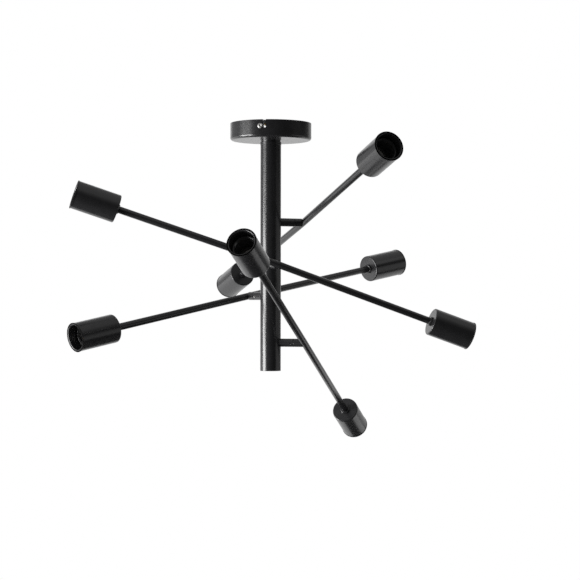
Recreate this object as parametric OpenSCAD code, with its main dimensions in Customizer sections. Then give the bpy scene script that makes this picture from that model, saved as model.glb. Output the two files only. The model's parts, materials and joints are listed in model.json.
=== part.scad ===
// Semi-flush ceiling light: a canopy, a column and four see-saw arms with a lamp cup at each end.
// The ceiling is the plane Z = 0 and the light hangs below it. The column stands on the Z axis.
// Each arm turns on a swivel whose axis is level and points out from the column.

/* [Canopy] */
// Outer diameter of the canopy
canopy_d = 118; // [112:1:140]
// Height of the canopy, ceiling to underside
canopy_h = 25; // [24:1:32]
// Sheet thickness of the canopy
canopy_wall = 1.2; // [1:0.1:1.6]
// Outer radius of the pressed edge
canopy_edge_r = 5; // [3:0.5:7]
// Angle that the canopy turns in its bayonet slots
bayonet_turn = 5.3; // [5:0.1:9]

/* [Column] */
// Height of the whole light, ceiling to column foot
total_h = 360; // [330:5:420]
// Outer diameter of the column
column_d = 30; // [29:0.5:34]
// Wall of the column tube
column_wall = 1.2; // [1:0.1:1.6]

/* [Swivels] */
// Diameter of the stubs that carry the arms
stub_d = 12; // [12:0.5:14]
// Column axis to rod axis
rod_offset = 51.5; // [50:0.5:58]
// Column axis to the joint line of each swivel
joint_at = 36; // [35:0.5:38]
// Diameter of the swivel pins
pin_d = 8; // [7.5:0.1:8.4]

/* [Arms] */
// Diameter of the rods
rod_d = 10; // [9:0.5:10]
// Swivel axis to the back of a cup, along the rod
rod_reach = 241.5; // [230:0.5:260]
// Outer diameter of the lamp cups
cup_d = 40; // [38:0.5:46]
// Length of the lamp cups
cup_l = 63; // [61:0.5:75]
// Wall of the lamp cups
cup_wall = 1.4; // [1:0.1:1.6]
// Reach of the cup's turned-in lip, inside its wall
cup_lip_in = 1.4; // [0.8:0.1:1.4]

/* [Arm 1, the top one] */
// Column foot to the swivel axis
arm_1_rise = 216.5; // [210:0.5:220]
// Direction of the swivel, seen from above
arm_1_azimuth = 37; // [30:1:45]
// Tilt of the rod as it hangs at rest
arm_1_tilt = -16.8; // [-18:0.1:0]

/* [Arm 2] */
// Column foot to the swivel axis
arm_2_rise = 153.5; // [150:0.5:160]
// Direction of the swivel, seen from above
arm_2_azimuth = -64; // [-70:1:-58]
// Tilt of the rod as it hangs at rest
arm_2_tilt = -19; // [-24:0.1:-8]

/* [Arm 3] */
// Column foot to the swivel axis
arm_3_rise = 109; // [102:0.5:112]
// Direction of the swivel, seen from above
arm_3_azimuth = 143; // [137:1:149]
// Tilt of the rod as it hangs at rest
arm_3_tilt = -10.7; // [-20:0.1:-6]

/* [Arm 4, the lowest one] */
// Column foot to the swivel axis
arm_4_rise = 41; // [34:0.5:48]
// Direction of the swivel, seen from above
arm_4_azimuth = -4; // [-10:1:2]
// Tilt of the rod as it hangs at rest
arm_4_tilt = -26.7; // [-35:0.1:-15]

/* [Hidden] */
// Fits
thread_gap = 0.02;      // radial, screwed and pressed pieces of one body
pin_gap = 0.05;         // radial, swivel pin in its stub
loose_gap = 0.3;        // between pieces of different bodies
hole_gap = 0.1;         // radial, clearance hole round a threaded end
eps = 0.5;              // a cutter's reach past the face that it cuts
round_fn = 64;
fine_fn = 32;
arc_steps = 6;

// The four arms, top one first
drops = [total_h - arm_1_rise, total_h - arm_2_rise, total_h - arm_3_rise, total_h - arm_4_rise];
azimuths = [arm_1_azimuth, arm_2_azimuth, arm_3_azimuth, arm_4_azimuth];
tilts = [arm_1_tilt, arm_2_tilt, arm_3_tilt, arm_4_tilt];
// The thin rods stand a little out of line at the swivel: down, and away from the column
droops = [0.2, 0.7, 0.3, 0.25];
swerves = [-1, 0, 0.2, 0];
// Where each clamp screw looks, round its stub from the level
grub_angles = [195, 195, -15, 195];

// Canopy
canopy_r = canopy_d/2;
canopy_in_r = canopy_r - canopy_wall;
entry_d = 10;                 // threaded tube from canopy to column, M10
entry_bore_d = 7;
entry_up = 9.5;               // above the canopy floor
entry_down = 12;              // into the column plug
floor_top = canopy_wall - canopy_h;

// Ceiling strap
strap_w = 20;
ear_w = 8;                    // the strap's bent ends are narrower
ear_step = 6;                 // from the strap's full width to the outside of the ear
strap_t = 2;
strap_bend_r = 3;
tab_y = sqrt(pow(canopy_in_r - loose_gap, 2) - pow(strap_w/2, 2));
tab_h = 15;
cable_hole_d = 12;
fix_slot_w = 5;
fix_slot_l = 16;
fix_at = 0.67*tab_y;          // slot centre, from the column axis

// Side screws and bayonet slots
side_screw_d = 4;
side_head_d = 8;
side_head_h = 2.6;
side_recess_d = 3.2;
side_screw_z = -9.4;
side_screw_in = 3;            // past the inside of the tab
slot_w = side_screw_d + 2*loose_gap;

// Earth screw
earth_d = 4;
earth_head_d = 7.5;
earth_head_h = 2.4;
earth_washer_d = 10;
earth_washer_t = 0.8;
earth_slot_w = 1;
earth_at = -0.4*tab_y;

// Terminal block
poles = 3;
pole_pitch = 7.4;
block_l = 17;
block_h = 6.5;
turret_d = 6;
turret_h = 5.5;
turret_gap = 8;               // between the two turrets of a pole
block_at = 0.4*tab_y;
block_screw_d = 3.4;
block_screw_sink = 1.2;
block_screw_l = 4;
block_peg_d = 4;
wire_hole_d = 3.2;

// Nut and washer in the canopy
entry_nut_af = 14;
entry_nut_h = 3;
washer_d = 17;
washer_t = 0.8;
washer_teeth = 12;
washer_tooth_w = 1.2;

// Collar under the canopy
collar_d = column_d + 0.6;
collar_neck_d = column_d - 1.6;
collar_neck_h = 2.1;
collar_h = 6.5;
collar_edge = 0.5;

// Column
column_r = column_d/2;
column_in_r = column_r - column_wall;
column_top = -canopy_h - collar_h;
column_l = total_h - canopy_h - collar_h;
plug_l = 12;
foot_cap_h = 9;
foot_cap_floor = 2;
foot_cap_sink = 0.4;
foot_cap_wall = 1.6;

// Stubs and swivel pins
tail_d = stub_d - 2;
tail_in = 0.8;
stub_edge = 0.4;
joint_line = 0.4;             // shadow gap between stub and hub
pin_l = 17;
pin_bore_d = 4.4;
pin_groove_d = pin_d - 1.9;
pin_groove_w = 2.6;
grub_at = joint_at - 5;
grub_d = 3;
grub_tip_d = 2;
grub_tip_reach = pin_groove_d/2 + loose_gap;
grub_out = stub_d/2 + 0.4;
grub_step = pin_d/2 + pin_gap + 0.1;
grub_socket_af = 1.5;
grub_socket_h = 1.1;

// Rods
rod_bore_d = rod_d - 3;
rod_thread_in = 9;            // rod end, past the back wall of the cup
nut_af = 13;
nut_h = 2.6;

// Cups, measured from the back of the cup
cup_r = cup_d/2;
cup_back = 1.5;
cup_back_r = 1.6;
cup_lip_r = 0.5;
cup_lip_face = 0.8;           // flat of the lip, inside the wall
cup_lip_chamfer_h = 1.2;
cup_lip_h = 2.2;
holder_recess = 13;           // mouth of the cup to the front of the lampholder
holder_r = cup_r - cup_wall - 1.8;
socket_r = 13.3;              // E27 thread, major radius
chamber_r = 12.2;
holder_front = cup_l - holder_recess;
funnel_h = 2;
funnel_r = holder_r - 0.5;
cap_h = 15;
cap_edge_r = 3;
cap_roof = 9.5;               // threaded length on the rod end
cap_ledge = 13.5;
cap_cavity_r = 12;
seat_r = holder_r - 2.2;
carrier_h = 6.5;
chamber_floor = cup_back + cap_ledge + carrier_h;
chamber_h = 6;
contact_w = 6;
contact_l = 9;
contact_rise = 4;
contact_t = 0.8;
contact_tip_d = 4;
side_contact_w = 5;
side_contact_l = 3;
side_contact_h = 2.6;

black = "#202022";
steel = "#b9bbbd";
brass = "#c9a552";
grey_plastic = "#d8d8d4";
ceramic = "#e9e7e0";
dark_plastic = "#161617";

// Shapes that repeat

// Points of an arc round (cx, cy)
function arc(cx, cy, r, from, to) =
  [for (i = [0:arc_steps]) [cx + r*cos(from + (to - from)*i/arc_steps), cy + r*sin(from + (to - from)*i/arc_steps)]];

module hex(af, h) {
  cylinder(d = af/cos(30), h = h, $fn = 6);
}

module ring(outer, inner, h) {
  difference() {
    cylinder(d = outer, h = h, $fn = round_fn);
    translate([0, 0, -eps]) cylinder(d = inner, h = h + 2*eps, $fn = round_fn);
  }
}

// A plate outline with two round ends, along Y
module slot_cut(width, length, depth) {
  run = length - width;
  for (end = [-1, 1]) translate([0, end*run/2, 0]) cylinder(d = width, h = depth, center = true, $fn = fine_fn);
  cube([width, run, depth], center = true);
}

// Turns Z out from the column, at the height and direction of an arm
module at_swivel(arm) {
  rotate([0, 0, azimuths[arm]]) translate([0, 0, -drops[arm]]) children();
}

// A cylinder along X
module along_x(d, from, to, facets = fine_fn) {
  translate([from, 0, 0]) rotate([0, 90, 0]) cylinder(d = d, h = to - from, $fn = facets);
}

// The frame of one arm: origin on its rod, X out from the column
module on_arm(arm) {
  at_swivel(arm) rotate([tilts[arm], 0, 0]) translate([rod_offset, 0, 0]) children();
}

// One half of an arm: Z runs from the swivel to the cup. side is 0 or 1
module on_half(arm, side) {
  on_arm(arm) mirror([0, side, 0]) rotate([-90 - droops[arm], 0, -swerves[arm]]) children();
}

// The same, from the back of the cup
module at_cup(arm, side) {
  on_half(arm, side) translate([0, 0, rod_reach]) children();
}

// Ceiling side

module strap_outline() {
  outer = strap_bend_r;
  inner = strap_bend_r - strap_t;
  right_side = concat(
    arc(tab_y - outer, -outer, outer, 90, 0),
    [[tab_y, -tab_h], [tab_y - strap_t, -tab_h]],
    arc(tab_y - outer, -outer, inner, 0, 90)
  );
  last = len(right_side) - 1;
  left_side = [for (i = [0:last]) [-right_side[last - i][0], right_side[last - i][1]]];
  polygon(concat(right_side, left_side));
}

module ceiling_strap() {
  color(steel) difference() {
    translate([-strap_w/2, 0, 0]) rotate([90, 0, 90]) linear_extrude(height = strap_w) strap_outline();
    for (side = [0, 1], end = [0, 1]) mirror([side, 0, 0]) mirror([0, end, 0])
      translate([ear_w/2, tab_y - ear_step, -tab_h - eps]) cube([strap_w, ear_step + eps, tab_h + 2*eps]);
    cylinder(d = cable_hole_d, h = 3*strap_t, center = true, $fn = round_fn);
    for (end = [-1, 1]) translate([0, end*fix_at, 0]) slot_cut(fix_slot_w, fix_slot_l, 3*strap_t);
    translate([0, earth_at, 0]) cylinder(d = earth_d + 2*thread_gap, h = 3*strap_t, center = true, $fn = fine_fn);
    translate([0, block_at, 0]) cylinder(d = block_peg_d + 2*thread_gap, h = 3*strap_t, center = true, $fn = fine_fn);
    for (turn = [0, 180]) rotate([0, 0, turn]) translate([0, -tab_y + strap_t/2, side_screw_z])
      rotate([90, 0, 0]) cylinder(d = side_screw_d + 2*thread_gap, h = 3*strap_t, center = true, $fn = fine_fn);
  }
}

// Head outside the canopy, shank through the slot into the strap's tab
module side_screw() {
  head_at = canopy_r + loose_gap;
  translate([0, -head_at, side_screw_z]) rotate([90, 0, 0]) difference() {
    union() {
      rotate_extrude($fn = fine_fn) polygon(concat(
        [[0, 0], [side_head_d/2, 0]],
        arc(side_head_d/2 - 1, side_head_h - 1, 1, 0, 90),
        [[0, side_head_h]]
      ));
      shank_l = head_at - tab_y + strap_t + side_screw_in;
      translate([0, 0, -shank_l]) cylinder(d = side_screw_d, h = shank_l + eps, $fn = fine_fn);
    }
    translate([0, 0, side_head_h/2]) cylinder(d = side_recess_d, h = side_head_h, $fn = 6);
  }
}

module side_screws() {
  color(steel) for (turn = [0, 180]) rotate([0, 0, turn]) side_screw();
}

module earth_screw() {
  head_top = -strap_t - earth_washer_t;
  color(brass) translate([0, earth_at, 0]) difference() {
    union() {
      translate([0, 0, head_top]) cylinder(d = earth_d, h = -head_top, $fn = fine_fn);
      translate([0, 0, head_top]) cylinder(d = earth_washer_d, h = earth_washer_t, $fn = fine_fn);
      translate([0, 0, head_top - earth_head_h]) cylinder(d = earth_head_d, h = earth_head_h, $fn = fine_fn);
    }
    translate([0, 0, head_top - earth_head_h]) cube([earth_slot_w, 2*earth_head_d, earth_head_h], center = true);
  }
}

// Places something at each turret of the terminal block
module at_turrets() {
  for (pole = [0:poles - 1]) for (end = [-1, 1])
    translate([(pole - (poles - 1)/2)*pole_pitch, block_at + end*turret_gap/2, -strap_t - block_h - turret_h])
      children();
}

module terminal_block() {
  block_w = poles*pole_pitch;
  color(grey_plastic) difference() {
    union() {
      translate([-block_w/2, block_at - block_l/2, -strap_t - block_h]) cube([block_w, block_l, block_h]);
      at_turrets() cylinder(d = turret_d, h = turret_h + eps, $fn = fine_fn);
      translate([0, block_at, -strap_t - eps]) cylinder(d = block_peg_d, h = strap_t + eps, $fn = fine_fn);
    }
    at_turrets() translate([0, 0, -eps])
      cylinder(d = block_screw_d + 2*thread_gap, h = block_screw_sink + block_screw_l + eps, $fn = fine_fn);
    for (pole = [0:poles - 1])
      translate([(pole - (poles - 1)/2)*pole_pitch, block_at, -strap_t - block_h/2])
        rotate([90, 0, 0]) cylinder(d = wire_hole_d, h = 2*block_l, center = true, $fn = fine_fn);
  }
}

module terminal_screws() {
  color(steel) at_turrets() translate([0, 0, block_screw_sink]) difference() {
    cylinder(d = block_screw_d, h = block_screw_l, $fn = fine_fn);
    cube([block_screw_d/4, 2*block_screw_d, block_screw_d/3], center = true);
  }
}

// Canopy and column

module canopy_shell() {
  edge_z = canopy_edge_r - canopy_h;
  edge_x = canopy_r - canopy_edge_r;
  bore_r = entry_d/2 + hole_gap;
  rotate_extrude($fn = 2*round_fn) polygon(concat(
    [[canopy_in_r, 0], [canopy_r, 0]],
    arc(edge_x, edge_z, canopy_edge_r, 0, -90),
    [[bore_r, -canopy_h], [bore_r, floor_top]],
    arc(edge_x, edge_z, canopy_edge_r - canopy_wall, -90, 0)
  ));
}

// L-shaped slot: up from the rim, then sideways to where the screw rests
module bayonet_slot() {
  run = canopy_r*sin(bayonet_turn);
  deep = 3*canopy_wall;
  translate([0, -canopy_r + deep, side_screw_z]) rotate([90, 0, 0]) linear_extrude(height = 2*deep) union() {
    circle(d = slot_w, $fn = fine_fn);
    translate([0, -slot_w/2]) square([run + slot_w/2, slot_w]);
    translate([run - slot_w/2, 0]) square([slot_w, eps - side_screw_z]);
  }
}

module canopy() {
  color(black) difference() {
    canopy_shell();
    for (turn = [0, 180]) rotate([0, 0, turn]) bayonet_slot();
  }
}

module entry_tube() {
  low = -canopy_h - collar_h - entry_down;
  color(steel) translate([0, 0, low]) ring(entry_d, entry_bore_d, entry_up + floor_top - low);
}

module tooth_washer() {
  color(steel) translate([0, 0, floor_top]) difference() {
    ring(washer_d, entry_d + 2*thread_gap, washer_t);
    for (tooth = [0:washer_teeth - 1]) rotate([0, 0, tooth*360/washer_teeth])
      translate([washer_d/2, 0, 0]) cube([washer_tooth_w*2, washer_tooth_w, 3*washer_t], center = true);
  }
}

module entry_nut() {
  color(steel) translate([0, 0, floor_top + washer_t]) difference() {
    hex(entry_nut_af, entry_nut_h);
    translate([0, 0, -eps]) cylinder(d = entry_d + 2*thread_gap, h = entry_nut_h + 2*eps, $fn = round_fn);
  }
}

module column_collar() {
  bore_r = entry_d/2 + hole_gap;
  color(black) translate([0, 0, -canopy_h]) rotate_extrude($fn = round_fn) polygon([
    [bore_r, 0], [collar_neck_d/2, 0], [collar_neck_d/2, -collar_neck_h],
    [collar_d/2 - collar_edge, -collar_neck_h], [collar_d/2, -collar_neck_h - collar_edge],
    [collar_d/2, -collar_h + collar_edge], [collar_d/2 - collar_edge, -collar_h], [bore_r, -collar_h]
  ]);
}

module column_plug() {
  color(steel) translate([0, 0, column_top - plug_l])
    ring(2*(column_in_r - thread_gap), entry_d + 2*thread_gap, plug_l);
}

module column() {
  color(black) difference() {
    translate([0, 0, column_top - column_l]) ring(column_d, 2*column_in_r, column_l);
    for (arm = [0:3]) at_swivel(arm) along_x(tail_d + 2*thread_gap, column_in_r - 2*column_wall, column_r + column_wall);
  }
}

// Pressed cup that closes the foot, open side up
module foot_cap() {
  cap_r = column_in_r - thread_gap;
  color(black) translate([0, 0, -total_h + foot_cap_sink]) difference() {
    cylinder(r = cap_r, h = foot_cap_h, $fn = round_fn);
    translate([0, 0, foot_cap_floor]) cylinder(r = cap_r - foot_cap_wall, h = foot_cap_h, $fn = round_fn);
  }
}

// Swivels

// Turned bush, butted on the column, with a tail through its wall
module stub(arm) {
  color(black) at_swivel(arm) difference() {
    union() {
      along_x(tail_d, column_in_r - tail_in, column_r + column_wall);
      difference() {
        union() {
          along_x(stub_d, 0, joint_at - stub_edge);
          translate([joint_at - stub_edge, 0, 0]) rotate([0, 90, 0])
            cylinder(d1 = stub_d, d2 = stub_d - 2*stub_edge, h = stub_edge, $fn = fine_fn);
        }
        cylinder(d = column_d, h = 2*stub_d, center = true, $fn = round_fn);
      }
    }
    along_x(pin_d + 2*pin_gap, 0, joint_at + eps);
    translate([grub_at, 0, 0]) rotate([grub_angles[arm], 0, 0]) rotate([-90, 0, 0])
      cylinder(d = grub_d + 2*thread_gap, h = stub_d, $fn = fine_fn);
  }
}

// Socket screw whose dog point stands in the pin's groove
module grub_screw() {
  difference() {
    union() {
      translate([0, 0, grub_step]) cylinder(d = grub_d, h = grub_out - grub_step, $fn = fine_fn);
      translate([0, 0, grub_tip_reach]) cylinder(d = grub_tip_d, h = grub_step - grub_tip_reach + eps, $fn = fine_fn);
    }
    translate([0, 0, grub_out - grub_socket_h]) hex(grub_socket_af, grub_socket_h + eps);
  }
}

module clamp_screws() {
  color(steel) for (arm = [0:3]) at_swivel(arm)
    translate([grub_at, 0, 0]) rotate([grub_angles[arm], 0, 0]) rotate([-90, 0, 0]) grub_screw();
}

// Barrel that carries the rod, with the pin that turns in the stub. Hollow for the wires
module swivel_hub(arm) {
  barrel_from = joint_at + joint_line - rod_offset;
  pin_from = joint_at - pin_l - rod_offset;
  groove_from = grub_at - rod_offset - pin_groove_w/2;
  color(black) on_arm(arm) difference() {
    union() {
      along_x(pin_d, pin_from, barrel_from + stub_edge);
      translate([barrel_from, 0, 0]) rotate([0, 90, 0])
        cylinder(d1 = stub_d - 2*stub_edge, d2 = stub_d, h = stub_edge, $fn = fine_fn);
      along_x(stub_d, barrel_from + stub_edge, -rod_d/4);
    }
    rod_solid(arm, rod_d, rod_d);
    along_x(pin_bore_d, pin_from - eps, 0);
    difference() {
      along_x(2*pin_d, groove_from, groove_from + pin_groove_w);
      along_x(pin_groove_d, groove_from - eps, groove_from + pin_groove_w + eps);
    }
  }
}

// Arms

// Both halves of a rod, or of its bore, cut square where they meet at the swivel
module rod_solid(arm, d, length) {
  for (side = [0, 1]) mirror([0, side, 0]) intersection() {
    rotate([-90 - droops[arm], 0, -swerves[arm]]) translate([0, 0, -d]) cylinder(d = d, h = length + d, $fn = fine_fn);
    translate([-2*rod_d, 0, -2*rod_d]) cube([4*rod_d, length + rod_d, 4*rod_d]);
  }
}

module rod(arm) {
  rod_l = rod_reach + cup_back + rod_thread_in;
  color(black) on_arm(arm) difference() {
    rod_solid(arm, rod_d, rod_l);
    rod_solid(arm, rod_bore_d, rod_l + eps);
    along_x(pin_bore_d, -rod_d, 0);
  }
}

module lock_nuts(arm) {
  color(black) for (side = [0, 1]) at_cup(arm, side) translate([0, 0, -nut_h]) difference() {
    hex(nut_af, nut_h);
    translate([0, 0, -eps]) cylinder(d = rod_d + 2*thread_gap, h = nut_h + 2*eps, $fn = fine_fn);
  }
}

// Pressed steel cup: round back edge, and a lip turned in round the mouth
module cup(arm, side) {
  bore_r = rod_d/2 + hole_gap;
  in_r = cup_r - cup_wall;
  in_back_r = max(cup_back_r - cup_wall, 0.2);
  lip_in_r = in_r - cup_lip_in;
  color(black) at_cup(arm, side) rotate_extrude($fn = round_fn) polygon(concat(
    [[bore_r, 0]],
    arc(cup_r - cup_back_r, cup_back_r, cup_back_r, -90, 0),
    arc(cup_r - cup_lip_r, cup_l - cup_lip_r, cup_lip_r, 0, 90),
    [[in_r - cup_lip_face, cup_l], [lip_in_r, cup_l - cup_lip_chamfer_h],
     [lip_in_r, cup_l - cup_lip_h + cup_lip_face/2], [in_r, cup_l - cup_lip_h]],
    arc(in_r - in_back_r, cup_back + in_back_r, in_back_r, 0, -90),
    [[bore_r, cup_back]]
  ));
}

// Front of the lampholder: screw socket for the lamp, open at the back for the contact carrier
module lampholder(arm, side) {
  seat_top = cup_back + cap_ledge + carrier_h;
  color(dark_plastic) at_cup(arm, side) rotate_extrude($fn = round_fn) polygon([
    [seat_r, cup_back + cap_h], [holder_r, cup_back + cap_h], [holder_r, holder_front], [funnel_r, holder_front],
    [socket_r, holder_front - funnel_h], [socket_r, chamber_floor + chamber_h],
    [chamber_r, chamber_floor + chamber_h], [chamber_r, seat_top], [seat_r, seat_top]
  ]);
}

// Domed cap, screwed on the end of the rod behind the cup's back wall
module holder_cap() {
  bore_r = rod_d/2 + thread_gap;
  translate([0, 0, cup_back]) rotate_extrude($fn = round_fn) polygon(concat(
    [[bore_r, 0]],
    arc(holder_r - cap_edge_r, cap_edge_r, cap_edge_r, -90, 0),
    [[holder_r, cap_h], [seat_r, cap_h], [seat_r, cap_ledge], [cap_cavity_r, cap_ledge],
     [cap_cavity_r, cap_roof], [bore_r, cap_roof]]
  ));
}

module holder_caps(arm) {
  color(dark_plastic) for (side = [0, 1]) at_cup(arm, side) holder_cap();
}

// Ceramic disc that holds the contacts, trapped between cap and lampholder
module contact_carriers(arm) {
  color(ceramic) for (side = [0, 1]) at_cup(arm, side) translate([0, 0, cup_back + cap_ledge])
    cylinder(r = seat_r - thread_gap, h = carrier_h, $fn = round_fn);
}

// Sprung tongue for the lamp's tip, and the side contact for its thread
module contact_pair() {
  leaf_z = chamber_floor + contact_rise - contact_t;
  translate([-contact_w/2, -contact_l/2, chamber_floor]) cube([contact_w, contact_t, contact_rise]);
  translate([-contact_w/2, -contact_l/2, leaf_z]) cube([contact_w, contact_l, contact_t]);
  translate([0, 0, leaf_z]) cylinder(d = contact_tip_d, h = 2*contact_t, $fn = fine_fn);
  translate([-side_contact_w/2, chamber_r - 1 - side_contact_l, chamber_floor])
    cube([side_contact_w, side_contact_l, side_contact_h]);
}

module contacts(arm) {
  color(brass) for (side = [0, 1]) at_cup(arm, side) contact_pair();
}

ceiling_strap();
side_screws();
earth_screw();
terminal_block();
terminal_screws();
canopy();
entry_tube();
entry_nut();
tooth_washer();
column_collar();
column_plug();
column();
foot_cap();
clamp_screws();
for (arm = [0:3]) {
  n = str(arm + 1);
  stub(arm);
  swivel_hub(arm);
  rod(arm);
  cup(arm, 0);
  cup(arm, 1);
  lampholder(arm, 0);
  lampholder(arm, 1);
  holder_caps(arm);
  contact_carriers(arm);
  contacts(arm);
  lock_nuts(arm);
}
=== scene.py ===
import json
import math

import bmesh
import bpy
from mathutils import Matrix, Vector


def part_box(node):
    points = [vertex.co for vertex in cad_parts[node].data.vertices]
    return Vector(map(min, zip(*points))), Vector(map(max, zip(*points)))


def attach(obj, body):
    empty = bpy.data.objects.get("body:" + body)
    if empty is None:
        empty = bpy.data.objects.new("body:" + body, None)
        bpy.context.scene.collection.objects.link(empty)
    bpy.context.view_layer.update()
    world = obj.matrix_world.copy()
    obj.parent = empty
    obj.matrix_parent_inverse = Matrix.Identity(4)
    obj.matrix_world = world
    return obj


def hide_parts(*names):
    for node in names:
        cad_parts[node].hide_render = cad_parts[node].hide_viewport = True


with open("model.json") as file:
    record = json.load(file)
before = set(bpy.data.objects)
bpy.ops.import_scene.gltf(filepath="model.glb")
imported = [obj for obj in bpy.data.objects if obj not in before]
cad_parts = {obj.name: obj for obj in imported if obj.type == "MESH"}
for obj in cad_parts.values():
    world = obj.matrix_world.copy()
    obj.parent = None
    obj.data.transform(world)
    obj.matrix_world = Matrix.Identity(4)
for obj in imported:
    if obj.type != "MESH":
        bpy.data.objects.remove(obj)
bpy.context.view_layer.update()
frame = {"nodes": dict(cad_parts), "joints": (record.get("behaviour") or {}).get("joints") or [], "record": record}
mm = 0.001                       # the sizes below are in millimetres
snug = 0.02                      # play between pieces that sit in each other
joints = {joint["name"]: joint for joint in frame["joints"]}
mounts = {mount["name"]: mount for mount in frame["record"]["mounts"]}
print("frame loaded:", len(frame["nodes"]), "nodes")


# Places, all read from the frame

def axisFrame(origin, along, across):
    # Z runs along the first direction, X as near as can be to the second
    zAxis = Vector(along).normalized()
    xAxis = Vector(across) - zAxis * zAxis.dot(Vector(across))
    xAxis.normalize()
    yAxis = zAxis.cross(xAxis)
    turned = Matrix((xAxis, yAxis, zAxis)).transposed()
    return Matrix.Translation(origin) @ turned.to_4x4()


def swivelPlace(arm):
    # on the column's axis, Z out along the swivel, X level, Y up
    joint = joints[f"arm_{arm}_tilt"]
    outward = Vector(joint["axis"])
    origin = Vector((0, 0, joint["pos_m"][2]))
    return axisFrame(origin, outward, Vector((0, 0, 1)).cross(outward))


def armPlace(arm):
    # on the rod where it crosses the swivel: X outward, Y along the rod to cup a
    joint = joints[f"arm_{arm}_tilt"]
    xAxis = Vector(joint["axis"]).normalized()
    toward = [Vector(mounts[f"lamp_socket_{arm}{side}"]["axis"]) for side in "ab"]
    yAxis = toward[0] - toward[1]
    yAxis = (yAxis - xAxis * xAxis.dot(yAxis)).normalized()
    turned = Matrix((xAxis, yAxis, xAxis.cross(yAxis))).transposed()
    return Matrix.Translation(joint["pos_m"]) @ turned.to_4x4()


def cupPlace(arm, side):
    # on the middle of the cup's back face, Z to the mouth
    socket = mounts[f"lamp_socket_{arm}{side}"]
    along = Vector(socket["axis"])
    across = Vector(joints[f"arm_{arm}_tilt"]["axis"]) * (1 if side == "a" else -1)
    middle = (lampholder["threadFrom"] + lampholder["front"] - lampholder["funnel"]) / 2
    return axisFrame(Vector(socket["pos_m"]) - along * middle * mm, along, across)


# Mesh helpers

def rounded(corners, arcSteps=5, guard=0.02):
    # corners are (x, y) or (x, y, radius), where a radius turns the corner into an arc;
    # a guard point each side of the arc keeps the shading of the flat next to it straight
    outline = []
    for index, corner in enumerate(corners):
        here = Vector(corner[:2])
        if len(corner) == 2:
            outline.append(tuple(here))
            continue
        before = (Vector(corners[index - 1][:2]) - here).normalized()
        after = (Vector(corners[(index + 1) % len(corners)][:2]) - here).normalized()
        half = before.angle(after) / 2
        centre = here + (before + after).normalized() * corner[2] / math.sin(half)
        start = here + before * corner[2] / math.tan(half) - centre
        end = here + after * corner[2] / math.tan(half) - centre
        sweep = math.atan2(start.cross(end), start.dot(end))
        outline.append(tuple(centre + start + before * guard))
        for step in range(arcSteps + 1):
            outline.append(tuple(centre + Matrix.Rotation(sweep * step / arcSteps, 2) @ start))
        outline.append(tuple(centre + end + after * guard))
    return outline


def lathe(profile, steps=96, kinds=None, closed=True):
    # profile points are (radius, height) or (radius, height, kind); a kind moves its points by their angle
    mesh = bmesh.new()
    rings = []
    for point in profile:
        radius, height = point[:2]
        if radius < 1e-6:
            rings.append([mesh.verts.new((0, 0, height * mm))] * steps)
            continue
        ring = []
        for step in range(steps):
            angle = 2 * math.pi * step / steps
            r, z = kinds[point[2]](angle, radius, height) if len(point) > 2 else (radius, height)
            ring.append(mesh.verts.new((r * mm * math.cos(angle), r * mm * math.sin(angle), z * mm)))
        rings.append(ring)
    following = rings[1:] + rings[:1] if closed else rings[1:]
    for low, high in zip(rings, following):
        for step in range(steps):
            ahead = (step + 1) % steps
            corners = list(dict.fromkeys([low[step], low[ahead], high[ahead], high[step]]))
            if len(corners) > 2:
                mesh.faces.new(corners)
    bmesh.ops.recalc_face_normals(mesh, faces=mesh.faces)
    return mesh


onEdge = Matrix(((0, 0, 1, 0), (1, 0, 0, 0), (0, 1, 0, 0), (0, 0, 0, 1)))    # stands an outline in YZ


def prism(outline, depth):
    # an outline in XY, drawn up along Z
    mesh = bmesh.new()
    low = [mesh.verts.new((x * mm, y * mm, 0)) for x, y in outline]
    high = [mesh.verts.new((x * mm, y * mm, depth * mm)) for x, y in outline]
    mesh.faces.new(low[::-1])
    mesh.faces.new(high)
    for index in range(len(outline)):
        ahead = (index + 1) % len(outline)
        mesh.faces.new((low[index], low[ahead], high[ahead], high[index]))
    bmesh.ops.recalc_face_normals(mesh, faces=mesh.faces)
    return mesh


def together(*parts):
    # (mesh, matrix) pairs as one mesh
    whole = bmesh.new()
    for part, matrix in parts:
        part.transform(matrix)
        carrier = bpy.data.meshes.new("carrier")
        part.to_mesh(carrier)
        part.free()
        whole.from_mesh(carrier)
        bpy.data.meshes.remove(carrier)
    return whole


def move(x=0.0, y=0.0, z=0.0):
    return Matrix.Translation((x * mm, y * mm, z * mm))


def turn(angle, axis):
    return Matrix.Rotation(math.radians(angle), 4, axis)


def shade(mesh, sharp=32):
    for face in mesh.faces:
        face.smooth = True
    for edge in mesh.edges:
        edge.smooth = len(edge.link_faces) != 2 or edge.calc_face_angle() < math.radians(sharp)


def finishedMesh(name, mesh, material=None):
    shade(mesh)
    data = bpy.data.meshes.new(name)
    mesh.to_mesh(data)
    mesh.free()
    if material:
        data.materials.append(material)
    return data


def placeObject(name, data, matrix):
    thing = bpy.data.objects.new(name, data)
    thing.matrix_world = matrix
    bpy.context.scene.collection.objects.link(thing)
    return thing


def makePiece(name, mesh, material=None, matrix=Matrix()):
    return placeObject(name, finishedMesh(name, mesh, material), matrix)


def applyModifiers(piece):
    bpy.context.view_layer.update()
    graph = bpy.context.evaluated_depsgraph_get()
    result = bpy.data.meshes.new_from_object(piece.evaluated_get(graph))
    piece.modifiers.clear()
    piece.data = result
    mesh = bmesh.new()
    mesh.from_mesh(result)
    shade(mesh)
    mesh.to_mesh(result)
    mesh.free()


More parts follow.
